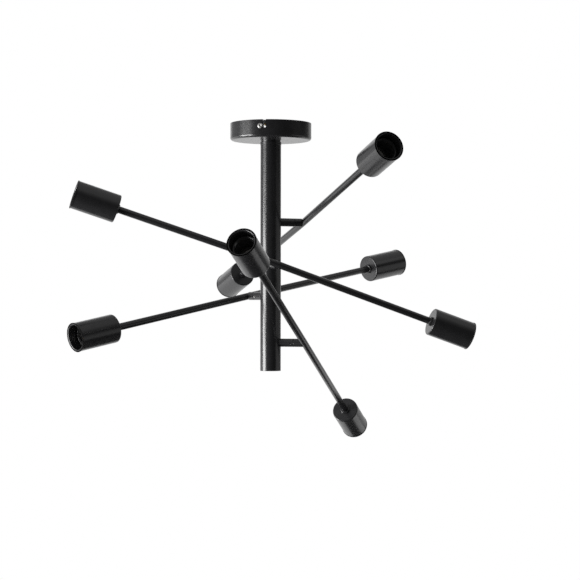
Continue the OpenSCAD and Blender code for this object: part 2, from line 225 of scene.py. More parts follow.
def cut(piece, mesh, operation="DIFFERENCE"):
    # mesh is in the piece's own frame
    cutter = makePiece("cutter", mesh, matrix=piece.matrix_world.copy())
    trim = piece.modifiers.new("trim", "BOOLEAN")
    trim.operation = operation
    trim.solver = "EXACT"
    trim.object = cutter
    applyModifiers(piece)
    bpy.data.objects.remove(cutter)


def easeEdges(piece, width):
    ease = piece.modifiers.new("ease", "BEVEL")
    ease.width = width * mm
    ease.segments = 2
    ease.angle_limit = math.radians(40)
    ease.use_clamp_overlap = True
    applyModifiers(piece)


def fit(piece, body, slot, *nodes):
    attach(piece, body)
    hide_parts(*nodes)
    return piece


def hexShape(angle, radius, height):
    # radius is half the width over the flats
    return radius / math.cos(angle % math.radians(60) - math.radians(30)), height


def threadShape(pitch, depth, low, high):
    # a right-hand thread between two heights, cut in from the radius that the profile gives
    def shape(angle, radius, height):
        phase = height / pitch - angle / (2 * math.pi)
        fade = min(1, max(0, min(height - low, high - height) / pitch))
        return radius - depth * fade * (0.5 - 0.5 * math.cos(2 * math.pi * phase)), height
    return shape


def threadRows(radius, start, end, pitch, kind="thread", rows=8):
    count = max(2, round(abs(end - start) / pitch * rows))
    return [(radius, start + (end - start) * row / count, kind) for row in range(count + 1)]


def hexNut(look):
    # faces at 0 and at the height, with turned corners
    half = look["overFlats"] / 2
    height = look["height"]
    slope = math.tan(math.radians(30))

    def corner(angle, top):
        radius = hexShape(angle, half, 0)[0]
        drop = max(0, radius - look["faceShare"] * half) * slope
        return radius, height - drop if top else drop

    kinds = {
        "low": lambda angle, radius, height: corner(angle, False),
        "high": lambda angle, radius, height: corner(angle, True),
    }
    bore, ease, face = look["bore"], look["ease"], look["faceShare"] * half
    return lathe([
        (bore, ease), (bore + ease, 0), (face, 0), (half, 0, "low"), (half, height, "high"),
        (face, height), (bore + ease, height), (bore, height - ease)
    ], 72, kinds)


# Finishes

noiseSpan = (0.3, 0.7)           # where nearly all of a noise lies


def emptyTree(owner):
    owner.use_nodes = True
    owner.node_tree.nodes.clear()
    return owner.node_tree.nodes, owner.node_tree.links


def spread(nodes, links, source, span, ends):
    # the source's value, drawn from one span out to another
    fade = nodes.new("ShaderNodeMapRange")
    for name, value in zip(("From Min", "From Max", "To Min", "To Max"), (*span, *ends)):
        fade.inputs[name].default_value = value
    links.new(source, fade.inputs["Value"])
    return fade.outputs["Result"]


def startMaterial(name, look):
    material = bpy.data.materials.new(name)
    nodes, links = emptyTree(material)
    shader = nodes.new("ShaderNodeBsdfPrincipled")
    output = nodes.new("ShaderNodeOutputMaterial")
    links.new(shader.outputs["BSDF"], output.inputs["Surface"])
    shader.inputs["Metallic"].default_value = look.get("metallic", 0)
    shader.inputs["IOR"].default_value = look.get("ior", 1.5)
    shader.inputs["Specular IOR Level"].default_value = look.get("gloss", 0.5)
    own = nodes.new("ShaderNodeTexCoord")
    stretch = nodes.new("ShaderNodeMapping")
    stretch.inputs["Scale"].default_value = look.get("stretch", (1, 1, 1))
    links.new(own.outputs["Object"], stretch.inputs["Vector"])

    def noise(size, detail):
        texture = nodes.new("ShaderNodeTexNoise")
        texture.inputs["Scale"].default_value = 1 / (size * mm)
        texture.inputs["Detail"].default_value = detail
        links.new(stretch.outputs["Vector"], texture.inputs["Vector"])
        return texture.outputs["Fac"]

    tint = nodes.new("ShaderNodeValToRGB")
    for stop, place, name in zip(tint.color_ramp.elements, noiseSpan, ("dark", "light")):
        stop.position = place
        stop.color = (*look[name], 1)
    links.new(noise(look["tintSize"], 3), tint.inputs["Fac"])
    links.new(tint.outputs["Color"], shader.inputs["Base Color"])

    gloss = spread(nodes, links, noise(look["roughSize"], 2), noiseSpan, look["rough"])
    links.new(gloss, shader.inputs["Roughness"])

    relief = nodes.new("ShaderNodeBump")
    relief.inputs["Strength"].default_value = 1
    relief.inputs["Distance"].default_value = look["grainDepth"] * mm
    links.new(noise(look["grainSize"], 1), relief.inputs["Height"])
    links.new(relief.outputs["Normal"], shader.inputs["Normal"])
    return material


satinCoat = startMaterial("satinBlackCoat", {
    "dark": (0.024, 0.024, 0.0255),
    "light": (0.029, 0.029, 0.031),
    "tintSize": 9,
    "ior": 1.8,
    "rough": (0.23, 0.28),
    "roughSize": 5,
    "grainSize": 0.8,            # the peel of the powder
    "grainDepth": 0.0018,
})
zincPlate = startMaterial("zincPlate", {
    "dark": (0.52, 0.53, 0.54),
    "light": (0.68, 0.69, 0.7),
    "tintSize": 3,
    "metallic": 1,
    "rough": (0.28, 0.42),
    "roughSize": 1.5,
    "grainSize": 0.4,
    "grainDepth": 0.004,
    "stretch": (0.25, 1, 1),     # rolling marks along X
})
brightNickel = startMaterial("brightNickel", {
    "dark": (0.7, 0.69, 0.67),
    "light": (0.8, 0.79, 0.77),
    "tintSize": 1.2,
    "metallic": 1,
    "rough": (0.4, 0.5),
    "roughSize": 0.8,
    "grainSize": 0.3,
    "grainDepth": 0.001,
})
plainBrass = startMaterial("plainBrass", {
    "dark": (0.6, 0.42, 0.16),
    "light": (0.76, 0.58, 0.27),
    "tintSize": 2,
    "metallic": 1,
    "rough": (0.22, 0.36),
    "roughSize": 1,
    "grainSize": 0.3,
    "grainDepth": 0.003,
})
whitePolyamide = startMaterial("whitePolyamide", {
    "dark": (0.74, 0.74, 0.7),
    "light": (0.82, 0.82, 0.79),
    "tintSize": 5,
    "rough": (0.45, 0.58),
    "roughSize": 2,
    "grainSize": 0.3,
    "grainDepth": 0.004,
})
blackThermoset = startMaterial("blackThermoset", {
    "dark": (0.03, 0.03, 0.031),
    "light": (0.04, 0.04, 0.041),
    "tintSize": 3,
    "ior": 1.7,
    "rough": (0.16, 0.22),
    "roughSize": 1.5,
    "grainSize": 0.5,
    "grainDepth": 0.002,
})
# near-zero black with almost no gloss: the ring's own black plastic plus painted shade, so the mouth ring stays
# dark under any light
rimBlackAndShade = startMaterial("rimBlackAndShade", {
    "dark": (0.0018, 0.0018, 0.0018),
    "light": (0.003, 0.003, 0.003),
    "tintSize": 3,
    "gloss": 0.04,
    "rough": (0.5, 0.6),
    "roughSize": 1,
    "grainSize": 0.4,
    "grainDepth": 0.002,
})
plainCeramic = startMaterial("plainCeramic", {
    "dark": (0.76, 0.73, 0.67),
    "light": (0.86, 0.84, 0.79),
    "tintSize": 2,
    "rough": (0.55, 0.75),
    "roughSize": 1,
    "grainSize": 0.25,
    "grainDepth": 0.008,
})
print("finishes ready")


# Canopy and its entry

slotEnd = 0.99                   # radius of a slot's round end, as a share of half its width

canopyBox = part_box("canopy")
canopy = {
    "radius": canopyBox[1].x / mm,
    "height": -canopyBox[0].z / mm,
    "wall": 1.2,
    "edge": 3.8,                 # outer radius of the pressed edge
    "rim": 0.4,
    "hole": 5.1,
    "slotWidth": 4.6,
    "slotCorner": 0.8,
    "slotAt": -9.4,              # height of the side screws
    "turn": 5.3,                 # degrees that the canopy turns on its screws
    "cutReach": 4,               # of the slots' cutter, each way from the wall
}


def buildCanopy():
    radius, height, wall = canopy["radius"], canopy["height"], canopy["wall"]
    shell = makePiece("canopy.shell", lathe(rounded([
        (radius, 0, canopy["rim"]),
        (radius, -height, canopy["edge"]),
        (canopy["hole"], -height, canopy["rim"]),
        (canopy["hole"], wall - height, canopy["rim"]),
        (radius - wall, wall - height, canopy["edge"] - wall),
        (radius - wall, 0, canopy["rim"]),
    ], 8), 192), satinCoat)
    half = canopy["slotWidth"] / 2
    run = radius * math.sin(math.radians(canopy["turn"]))
    top = half - canopy["slotAt"]
    outline = rounded([
        (run + half, top),
        (run + half, -half, canopy["slotCorner"]),
        (-half, -half, half * slotEnd),
        (-half, half, half * slotEnd),
        (run - half, half, canopy["slotCorner"]),
        (run - half, top),
    ], 8)
    reach = canopy["cutReach"]
    stand = move(0, -radius + reach, canopy["slotAt"]) @ turn(90, "X")
    cut(shell, together(
        (prism(outline, 2 * reach), stand),
        (prism(outline, 2 * reach), turn(180, "Z") @ stand),
    ))
    fit(shell, "column", "black_coat", "canopy")


entry = {
    "radius": 5,                 # M10 by 1 tube
    "bore": 3.5,
    "pitch": 1,
    "threadDepth": 0.45,
    "ease": 0.4,
    "washerRadius": 8.5,
    "washerRoot": 7.3,
    "washerEase": 0.3,
    "washerTeeth": 12,
    "toothGap": 0.14,            # each side of a tooth, as a share of its room
    "toothTwist": 0.1,
    "nut": {"overFlats": 14, "height": 3, "bore": 5.02, "ease": 0.3, "faceShare": 0.95},
}


def buildEntry():
    low, high = (corner.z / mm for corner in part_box("entry_tube"))
    ease = entry["ease"]
    tube = lathe([
        (entry["bore"], low + ease), (entry["bore"] + ease, low), (entry["radius"] - ease, low),
        *threadRows(entry["radius"], low + ease, high - ease, entry["pitch"]),
        (entry["radius"] - ease, high), (entry["bore"] + ease, high), (entry["bore"], high - ease),
    ], 64, {"thread": threadShape(entry["pitch"], entry["threadDepth"], low, high)})
    fit(makePiece("entry.tube", tube, zincPlate), "column", "zinc_steel", "entry_tube")

    floorTop = canopy["wall"] - canopy["height"]
    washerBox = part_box("tooth_washer")
    washerHeight = (washerBox[1].z - washerBox[0].z) / mm
    share, twist, root = 360 / entry["washerTeeth"], entry["toothTwist"], entry["washerRoot"]

    def tooth(angle, radius, height):
        place = (math.degrees(angle) / share) % 1
        gap = min(place, 1 - place) < entry["toothGap"]
        return (root if gap else radius), height + twist * (2 * place - 1)

    bore, flat = entry["radius"] + snug, root - entry["washerEase"]
    washer = makePiece("entry.toothWasher", lathe([
        (bore, 0), (flat, 0), (entry["washerRadius"], twist, "tooth"),
        (entry["washerRadius"], washerHeight - twist, "tooth"), (flat, washerHeight), (bore, washerHeight),
    ], 192, {"tooth": tooth}), zincPlate, move(z=floorTop))
    fit(washer, "column", "zinc_steel", "tooth_washer")
    nut = makePiece("entry.nut", hexNut(entry["nut"]), zincPlate, move(z=floorTop + washerHeight))
    fit(nut, "column", "zinc_steel", "entry_nut")


buildCanopy()
buildEntry()
print("canopy done")


# Ceiling strap and what is on it

strap = {
    "reach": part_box("ceiling_strap")[1].y / mm,
    "width": 20,
    "thickness": 2,
    "bend": 3,
    "tabHeight": 15,             # bent down at both ends, for the side screws
    "edge": 0.25,
    "cableHole": 6,
    "slotWidth": 5,
    "slotLength": 16,
    "slotShare": 0.67,           # slot centre, as a share of the half length
    "earthShare": -0.4,
    "blockShare": 0.4,
    "pegRadius": 2,
    "screwHole": 2.02,
    "earWidth": 8,               # narrower past the step, behind the canopy's slots
    "earStep": 6,
}


def slotOutline(width, length):
    half, end = width / 2, width / 2 * slotEnd
    return rounded([
        (-half, -length / 2, end), (half, -length / 2, end),
        (half, length / 2, end), (-half, length / 2, end),
    ], 8)


def drill(radius, depth):
    # a round cutter, centred on its middle
    return lathe([(0, -depth / 2), (radius, -depth / 2), (radius, depth / 2), (0, depth / 2)], 48)


def buildStrap():
    reach, thick, width, down = strap["reach"], strap["thickness"], strap["width"], -strap["tabHeight"]
    side = rounded([
        (-reach, down), (-reach, 0, strap["bend"]), (reach, 0, strap["bend"]), (reach, down),
        (reach - thick, down), (reach - thick, -thick, strap["bend"] - thick),
        (thick - reach, -thick, strap["bend"] - thick), (thick - reach, down),
    ], 8)
    plate = makePiece("strap.plate", together((prism(side, width), move(x=-width / 2) @ onEdge)), zincPlate)
    slot = slotOutline(strap["slotWidth"], strap["slotLength"])
    deep = 3 * thick
    holes = [
        (drill(strap["cableHole"], deep), move()),
        (drill(strap["pegRadius"] + snug, deep), move(y=strap["blockShare"] * reach)),
        (drill(strap["screwHole"], deep), move(y=strap["earthShare"] * reach)),
    ]
    for end in (-1, 1):
        holes.append((prism(slot, deep), move(0, end * strap["slotShare"] * reach, -deep / 2)))
        tab = move(0, end * (reach - thick / 2), canopy["slotAt"]) @ turn(90, "X")
        holes.append((drill(strap["screwHole"], deep), tab))
        for side in (-1, 1):
            inside, outside = side * strap["earWidth"] / 2, side * width
            step, past = end * (reach - strap["earStep"]), end * (reach + 1)
            corner = [(inside, step), (outside, step), (outside, past), (inside, past)]
            holes.append((prism(corner, 2 * strap["tabHeight"]), move(z=-1.5 * strap["tabHeight"])))
    cut(plate, together(*holes))
    easeEdges(plate, strap["edge"])
    fit(plate, "ceiling_mount", "zinc_steel", "ceiling_strap")


sideScrew = {
    "headRadius": 4,
    "headHeight": 2.6,
    "dome": 1.9,
    "socketFlats": 1.386,        # half the width of the socket over its flats
    "socketDepth": 1.3,
    "socketEase": 0.25,
    "radius": 2,
    "pitch": 0.7,
    "threadDepth": 0.38,
    "gap": 0.3,                  # canopy to the underside of the head
    "pastTab": 3,
}


def buildSideScrews():
    look = sideScrew
    head = look["headHeight"]
    start = -canopy["radius"] - look["gap"]
    end = -(-start - strap["reach"] + strap["thickness"] + look["pastTab"])
    shape = {"hex": hexShape, "thread": threadShape(look["pitch"], look["threadDepth"], end, 0)}
    outer = rounded([
        (look["socketFlats"] + 2 * look["socketEase"], head), (look["headRadius"], head, look["dome"]),
        (look["headRadius"], 0, 0.15), (look["radius"], 0),
    ], 6)
    profile = [
        (0, head - look["socketDepth"] - 0.3), (look["socketFlats"], head - look["socketDepth"], "hex"),
        (look["socketFlats"], head - look["socketEase"], "hex"), *outer,
        *threadRows(look["radius"], -0.1, end + 0.4, look["pitch"]),
        (look["radius"] - 0.4, end), (0, end),
    ]
    for number, way in enumerate((0, 180)):
        place = turn(way, "Z") @ move(0, start, canopy["slotAt"]) @ turn(90, "X")
        screw = makePiece(f"sideScrew.{number + 1}", lathe(profile, 72, shape), brightNickel, place)
        fit(screw, "ceiling_mount", "bright_steel", "side_screws")


earthScrew = {
    "radius": 2,
    "headRadius": 3.75,
    "headHeight": 2.4,
    "washerRadius": 5,
    "washerHeight": 0.8,
    "slot": 1,
    "slotDepth": 1.2,
    "pitch": 0.7,
    "threadDepth": 0.35,
}


def buildEarthScrew():
    look = earthScrew
    under = -strap["thickness"]
    washerLow = under - look["washerHeight"]
    headLow = washerLow - look["headHeight"]
    head, wide = look["headRadius"], look["washerRadius"]
    profile = [(0, headLow)] + rounded([
        (head * 0.4, headLow), (head, headLow, 0.5), (head, washerLow),
        (wide, washerLow, 0.2), (wide, under, 0.2), (look["radius"], under),
    ]) + threadRows(look["radius"], under + 0.1, -0.3, look["pitch"]) + [(look["radius"] - 0.3, 0), (0, 0)]
    shape = {"thread": threadShape(look["pitch"], look["threadDepth"], under, 0)}
    place = move(y=strap["earthShare"] * strap["reach"])
    screw = makePiece("earthScrew", lathe(profile, 64, shape), plainBrass, place)
    half, long = look["slot"] / 2, 2 * head
    slot = [(-half, -long), (half, -long), (half, long), (-half, long)]
    cut(screw, together((prism(slot, 2 * look["slotDepth"]), move(z=headLow - look["slotDepth"]))))
    fit(screw, "ceiling_mount", "brass", "earth_screw")


block = {
    "poles": 3,
    "pitch": 7.4,
    "length": 17,
    "height": 6.5,
    "corner": 0.8,
    "notch": 0.9,                # between two poles
    "notchRound": 0.3,
    "turretRadius": 3,
    "turretHeight": 5.5,
    "turretGap": 8,
    "wireHole": 1.6,
    "screwRadius": 1.7,
    "screwSink": 1.2,
    "screwLength": 4,
    "screwSlot": 0.8,
    "screwSlotDepth": 0.8,
    "screwTurn": 35,             # degrees from one screw's slot to the next
}


def buildTerminals():
    look = block
    at = strap["blockShare"] * strap["reach"]
    half, long = look["poles"] * look["pitch"] / 2, look["length"] / 2
    low = -strap["thickness"] - look["height"]
    tip = low - look["turretHeight"]
    corners = [(-half, -long, look["corner"])]
    for side in (-1, 1):
        edges = [pole * look["pitch"] - half for pole in range(1, look["poles"])]
        for x in edges if side < 0 else edges[::-1]:
            notch, end, soft = side * look["notch"], side * long, look["notchRound"]
            corners += [(x + notch, end, soft), (x, end - notch, soft), (x - notch, end, soft)]
        corners += [(half, -long, look["corner"]), (half, long, look["corner"])] if side < 0 else []
    corners.append((-half, long, look["corner"]))
    solid = prism(rounded(corners), look["height"])
    body = makePiece("terminals.block", solid, whitePolyamide, move(0, at, low))
    places = [
        ((pole - (look["poles"] - 1) / 2) * look["pitch"], end * look["turretGap"] / 2)
        for pole in range(look["poles"]) for end in (-1, 1)
    ]
    tall, bore = look["turretHeight"], look["screwRadius"] + snug
    turret = rounded([
        (bore, 0, 0.2), (look["turretRadius"], 0, 0.4), (look["turretRadius"], tall + 1), (bore, tall + 1),
    ])
    well = look["screwSink"] + look["screwLength"]
    cut(body, together(
        *[(lathe(turret, 48), move(x, y, -tall)) for x, y in places],
        (drill(strap["pegRadius"], 2 * strap["thickness"]), move(z=look["height"])),
    ), "UNION")
    cut(body, together(
        *[(drill(bore, well), move(x, y, well / 2 - tall)) for x, y in places],
        *[(drill(look["wireHole"], 2 * look["length"]), move(x, 0, look["height"] / 2) @ turn(90, "X"))
          for x, y in places[::2]],
    ))
    fit(body, "ceiling_mount", "white_plastic", "terminal_block")

    radius, length = look["screwRadius"], look["screwLength"]
    profile = [(0, 0)] + rounded([
        (radius * 0.4, 0), (radius, 0, 0.25), (radius, length, 0.25), (radius * 0.4, length)
    ]) + [(0, length)]
    slot, past, deep = look["screwSlot"] / 2, look["turretRadius"], look["screwSlotDepth"]
    for number, (x, y) in enumerate(places):
        place = move(x, at + y, tip + look["screwSink"])
        screw = makePiece(f"terminals.screw{number + 1}", lathe(profile, 48), zincPlate, place)
        groove = prism([(-slot, -past), (slot, -past), (slot, past), (-slot, past)], 2 * deep)
        cut(screw, together((groove, move(z=-deep) @ turn(look["screwTurn"] * number, "Z"))))
        fit(screw, "ceiling_mount", "zinc_steel", "terminal_screws")


buildStrap()
buildSideScrews()
buildEarthScrew()
buildTerminals()
print("ceiling side done")


# Column, its collar, plug and foot

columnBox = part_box("column")
column = {
    "radius": columnBox[1].x / mm,
    "top": columnBox[1].z / mm,
    "foot": columnBox[0].z / mm,
    "wall": 1.2,
    "edge": 0.35,
    "tailHole": 5.02,            # for the tails of the stubs
    "collarNeck": 14.2,
    "collarNeckHeight": 2.1,
    "collarExtra": 0.3,
    "collarEdge": 0.5,
    "collarBore": 5.1,
    "plugHeight": 12,
    "plugEdge": 0.6,
    "capSink": 0.4,
    "capHeight": 9,
    "capFloor": 2,
    "capWall": 1.6,
    "capEdge": 0.6,
}


def buildColumn():
    look = column
    radius, inner, top = look["radius"], look["radius"] - look["wall"], look["top"]
    edge = look["edge"]
    tube = makePiece("column.tube", lathe(rounded([
        (inner, look["foot"], edge), (radius, look["foot"], edge), (radius, top, edge), (inner, top, edge)
    ]), 128), satinCoat)
    cut(tube, together(*[
        (drill(look["tailHole"], 3 * look["wall"]), swivelPlace(arm) @ move(z=inner)) for arm in range(1, 5)
    ]))
    fit(tube, "column", "black_coat", "column")

    under = -canopy["height"]
    neck = under - look["collarNeckHeight"]
    wide = radius + look["collarExtra"]
    collar = lathe(rounded([
        (look["collarBore"], under), (look["collarNeck"], under), (look["collarNeck"], neck, 0.15),
        (wide, neck, look["collarEdge"]), (wide, top, look["collarEdge"]), (look["collarBore"], top),
    ]), 128)
    fit(makePiece("column.collar", collar, satinCoat), "column", "black_coat", "column_collar")

    plugRadius, bore, low = inner - snug, entry["radius"] + snug, top - look["plugHeight"]
    plug = lathe(rounded([
        (bore, low, 0.3), (plugRadius, low, look["plugEdge"]),
        (plugRadius, top, look["plugEdge"]), (bore, top, 0.3),
    ]), 96)
    fit(makePiece("column.plug", plug, zincPlate), "column", "zinc_steel", "column_plug")

    low = look["foot"] + look["capSink"]
    high = low + look["capHeight"]
    hollow, ground = plugRadius - look["capWall"], low + look["capFloor"]
    cap = lathe([(0, low)] + rounded([
        (plugRadius / 2, low), (plugRadius, low, look["capEdge"]), (plugRadius, high, 0.3),
        (hollow, high, 0.3), (hollow, ground, 0.8), (hollow / 2, ground),
    ]) + [(0, ground)], 96)
    fit(makePiece("column.footCap", cap, satinCoat), "column", "black_coat", "foot_cap")


buildColumn()
print("column done")


# Swivels

swivel = {
    "radius": 6,
    "tailRadius": 5,
    "tailIn": 0.8,
    "jointAt": 36,               # column axis to the end of the stub
    "jointGap": 0.4,
    "edge": 0.4,
    "pinRadius": 4,
    "pinLength": 17,
    "pinPlay": 0.05,
    "pinBore": 2.2,
    "pinGroove": 3.05,
    "grooveWidth": 2.6,
    "clampAt": 31,
    "clampAngles": [195, 195, -15, 195],
}


def buildStub(arm):
    look = swivel
    wide, bore, end = look["radius"], look["pinRadius"] + look["pinPlay"], look["jointAt"]
    tail = column["radius"] - column["wall"] - look["tailIn"]

    def saddle(angle, radius, height):
        return radius, math.sqrt(column["radius"] ** 2 - (radius * math.cos(angle)) ** 2)

    outer = rounded([(wide, end - 4), (wide, end, look["edge"]), (bore, end, 0.2), (bore, end - 4)])
    profile = [
        (bore, tail), (look["tailRadius"] - 0.3, tail), (look["tailRadius"], tail + 0.3),
        (look["tailRadius"], 0, "saddle"), (wide, 0, "saddle"), *outer,
    ]
    solid = lathe(profile, 72, {"saddle": saddle})
    stub = makePiece(f"swivel{arm}.stub", solid, satinCoat, swivelPlace(arm))
    screwHole = drill(clampScrew["radius"] + snug, wide * 2)
    cut(stub, together((screwHole, clampAim(arm) @ move(z=wide))))
    fit(stub, "column", "black_coat", f"stub_{arm}")


clampScrew = {
    "darkScrewArms": (1, 4),        # their clamp screws take the black coat, not bright steel: painted shade that keeps a glint off them
    "radius": 1.5,
    "tipRadius": 1,
    "tipAt": 3.35,
    "stepAt": 4.15,
    "top": 6.4,
    "ease": 0.25,                # bevel at both ends of the thread
    "socketFlats": 0.75,
    "socketDepth": 1.1,
    "pitch": 0.5,
    "threadDepth": 0.28,
}


def clampAim(arm):
    # from the swivel's axis out along the clamp screw, in the swivel's own frame
    angle = math.radians(swivel["clampAngles"][arm - 1])
    outward = Vector((math.cos(angle), math.sin(angle), 0))
    return axisFrame(Vector((0, 0, swivel["clampAt"] * mm)), outward, Vector((0, 0, 1)))


def buildClampScrew(arm):
    look = clampScrew
    radius, low, top, ease = look["radius"], look["stepAt"], look["top"], look["ease"]
    tip, start = look["tipRadius"], look["tipAt"]
    socket, floor = look["socketFlats"], top - look["socketDepth"]
    shape = {"hex": hexShape, "thread": threadShape(look["pitch"], look["threadDepth"], low, top)}
    profile = [
        (0, start), (tip - 0.3, start), (tip, start + 0.3), (tip, low), (radius - ease, low),
        *threadRows(radius, low + ease, top - ease, look["pitch"]),
        (radius - ease, top), (socket + 0.3, top), (socket, top - 0.15, "hex"),
        (socket, floor, "hex"), (0, floor - ease),
    ]
    place = swivelPlace(arm) @ clampAim(arm)
    # painted shade: on these arms the black coat stands in for bright steel, so no glint shows on the screw
    finish = satinCoat if arm in look["darkScrewArms"] else brightNickel
    screw = makePiece(f"swivel{arm}.clampScrew", lathe(profile, 48, shape), finish, place)
    fit(screw, "column", "bright_steel", "clamp_screws")


def rodHalf(arm, profile, kinds=None):
    # half a rod in the arm's frame, mirrored at the swivel; points of kind mitre end on the middle plane
    toCup = armPlace(arm).inverted().to_3x3() @ Vector(mounts[f"lamp_socket_{arm}a"]["axis"])
    aim = axisFrame(Vector(), toCup, Vector((1, 0, 0)))

    def mitre(angle, radius, height):
        sideways = aim[1][0] * math.cos(angle) + aim[1][1] * math.sin(angle)
        return radius, -radius * sideways / aim[1][2]

    mesh = lathe(profile, 48, {"mitre": mitre, **(kinds or {})}, closed=False)
    mesh.transform(aim)
    bmesh.ops.mirror(
        mesh, geom=mesh.verts[:] + mesh.edges[:] + mesh.faces[:], matrix=Matrix(), merge_dist=1e-6, axis="Y"
    )
    bmesh.ops.recalc_face_normals(mesh, faces=mesh.faces)
    return mesh


def buildHub(arm):
    look = swivel
    offset = Vector(joints[f"arm_{arm}_tilt"]["pos_m"]).xy.length / mm
    pinFrom = look["jointAt"] - look["pinLength"] - offset
    barrel = look["jointAt"] + look["jointGap"] - offset
    groove = look["clampAt"] - offset
    half = look["grooveWidth"] / 2
    profile = rounded([
        (look["pinBore"], pinFrom, 0.3), (look["pinRadius"], pinFrom, 0.4),
        (look["pinRadius"], groove - half), (look["pinGroove"], groove - half),
        (look["pinGroove"], groove + half), (look["pinRadius"], groove + half),
        (look["pinRadius"], barrel), (look["radius"], barrel, look["edge"]),
        (look["radius"], -rod["radius"] / 2, 0.5), (look["pinBore"], -rod["radius"] / 2),
    ])
    place = armPlace(arm)
    hub = makePiece(f"swivel{arm}.hub", together((lathe(profile, 72), turn(90, "Y"))), satinCoat, place)
    past = 4 * rod["radius"]
    cut(hub, rodHalf(arm, [(0, past), (rod["radius"], past), (rod["radius"], 0, "mitre")]))
    fit(hub, f"arm_{arm}", "black_coat", f"swivel_hub_{arm}")


# Rods

rod = {
    "radius": 5,
    "bore": 3.5,
    "threadPast": 10.5,          # from the back of the cup to the end of the rod
    "threadFrom": -4,
    "pitch": 1,
    "threadDepth": 0.45,
    "edge": 0.4,
    "wireHole": 2.2,
}


def rodReach(arm):
    return (cupPlace(arm, "a").translation - Vector(joints[f"arm_{arm}_tilt"]["pos_m"])).length / mm


def buildRod(arm):
    look = rod
    radius, bore, edge, reach = look["radius"], look["bore"], look["edge"], rodReach(arm)
    end, start = reach + look["threadPast"], reach + look["threadFrom"]
    profile = [
        (bore, 0, "mitre"), (bore, end - edge), (bore + edge, end), (radius - edge, end),
        *threadRows(radius, end - edge, start, look["pitch"]), (radius, 0, "mitre"),
    ]
    shape = {"thread": threadShape(look["pitch"], look["threadDepth"], start, end)}
    bar = makePiece(f"arm{arm}.rod", rodHalf(arm, profile, shape), satinCoat, armPlace(arm))
    long = 2 * radius
    cut(bar, together((drill(look["wireHole"], long), move(x=-long / 2) @ turn(90, "Y"))))
    fit(bar, f"arm_{arm}", "black_coat", f"rod_{arm}")


# Cups and lampholders, measured from the back of the cup

lampholder = {
    "radius": 16.8,
    "from": 16.5,
    "front": 50,
    "funnel": 2,
    "funnelRadius": 15,
    "funnelRound": 0.9,
    "threadRadius": 13.3,
    "threadFrom": 27.5,
    "pitch": 3.629,              # E27 thread
    "threadDepth": 0.95,
    "chamber": 12.2,
    "seat": 14.6,
    "seatTo": 21.5,
    "edge": 0.5,
}

cup = {
    "radius": 20,
    "length": 63,
    "wall": 1.4,
    "back": 1.5,
    "backEdge": 1.6,
    "lipEdge": 0.5,
    "lipRadius": 17.2,           # turned-in lip
    "lipRound": 1.2,
    "lipDepth": 2.2,
    "hole": 5.1,
}

rimRing = {
    "radius": 20.5,              # a thin ring on the mouth: coated band, matt face
    "inner": 18.5,
    "back": 62.1,
    "split": 62.8,
    "front": 63.35,
    "face": 63.02,
    "grip": 20.02,
    "edge": 0.35,
}

holderCap = {
    "radius": 16.8,
    "from": 1.5,
    "to": 16.5,
    "edge": 3,
    "roof": 11,
    "ledge": 15,
    "cavity": 12,
    "grips": 24,
    "gripDepth": 0.25,
}

carrier = {
    "radius": 14.58,
    "from": 15,
    "to": 21.5,
    "edge": 0.5,
    "grooveAt": 13,
    "grooveDepth": 0.5,
    "grooveHalf": 0.5,
}

contact = {
    "width": 6,
    "half": 4.5,
    "rise": 4,
    "strip": 0.8,
    "tipRadius": 2,
    "tipHeight": 0.8,
    "sideWidth": 5,
    "sideFrom": 8.2,
    "sideTo": 11.2,
    "sideHeight": 2.6,
}

lockNut = {"overFlats": 13, "height": 2.6, "bore": 5.02, "ease": 0.25, "faceShare": 0.94}


def cupMesh():
    look = cup
    radius, inner, length = look["radius"], look["radius"] - look["wall"], look["length"]
    lip, ledge = look["lipRadius"], length - look["lipDepth"]
    return lathe(rounded([
        (look["hole"], 0, 0.3), (radius, 0, look["backEdge"]), (radius, length, look["lipEdge"]),
        (lip, length, look["lipRound"]), (lip, ledge + 0.4, 0.2), (inner, ledge, 0.2),
        (inner, look["back"], 1), (look["hole"], look["back"], 0.3),
    ], 7), 128)


def rimBandMesh():
    look = rimRing
    return lathe(rounded([
        (look["grip"], look["back"]), (look["radius"], look["back"], look["edge"] / 2),
        (look["radius"], look["split"]), (look["grip"], look["split"]),
    ]), 128)


def rimRingMesh():
    look = rimRing
    return lathe(rounded([
        (look["grip"], look["split"]), (look["radius"], look["split"]),
        (look["radius"], look["front"], look["edge"]), (look["inner"], look["front"], 0.15),
        (look["inner"], look["face"]), (look["grip"], look["face"]),
    ]), 128)


def lampholderMesh():
    look = lampholder
    radius, back, front, seat = look["radius"], look["from"], look["front"], look["seat"]
    thread, start, chamber = look["threadRadius"], look["threadFrom"], look["chamber"]
    throat, soft = front - look["funnel"], look["funnelRound"]
    face = rounded([
        (radius, front - 4), (radius, front, look["edge"]), (look["funnelRadius"], front, soft),
        (thread, throat, soft / 2), (thread, throat - 1),
    ])
    profile = [
        (seat, back), (radius - 0.3, back), (radius, back + 0.3), *face,
        *threadRows(thread, throat - 1.2, start, look["pitch"], rows=12),
        (chamber, start), (chamber, look["seatTo"]), (seat, look["seatTo"]),
    ]
    shape = {"thread": threadShape(look["pitch"], look["threadDepth"], start, throat - 1)}
    return lathe(profile, 96, shape)


def capMesh():
    look = holderCap

    def grip(angle, radius, height):
        return radius - look["gripDepth"] * (0.5 + 0.5 * math.cos(angle * look["grips"])) ** 3, height

    radius, low, high = look["radius"], look["from"], look["to"]
    bore, seat, gripFrom = rod["radius"] + snug, lampholder["seat"], low + look["edge"] + 1
    cavity, ledge, roof = look["cavity"], look["ledge"], look["roof"]
    dome = rounded([(bore, low), (radius, low, look["edge"]), (radius, high)], 7)
    sides = [
        (radius, gripFrom), (radius, gripFrom + 0.5, "grip"),
        (radius, high - 1, "grip"), (radius, high - 0.5),
    ]
    inside = [(radius, high), (seat, high), (seat, ledge), (cavity, ledge), (cavity, roof), (bore, roof)]
    return lathe(dome[:-1] + sides + inside, 192, {"grip": grip})


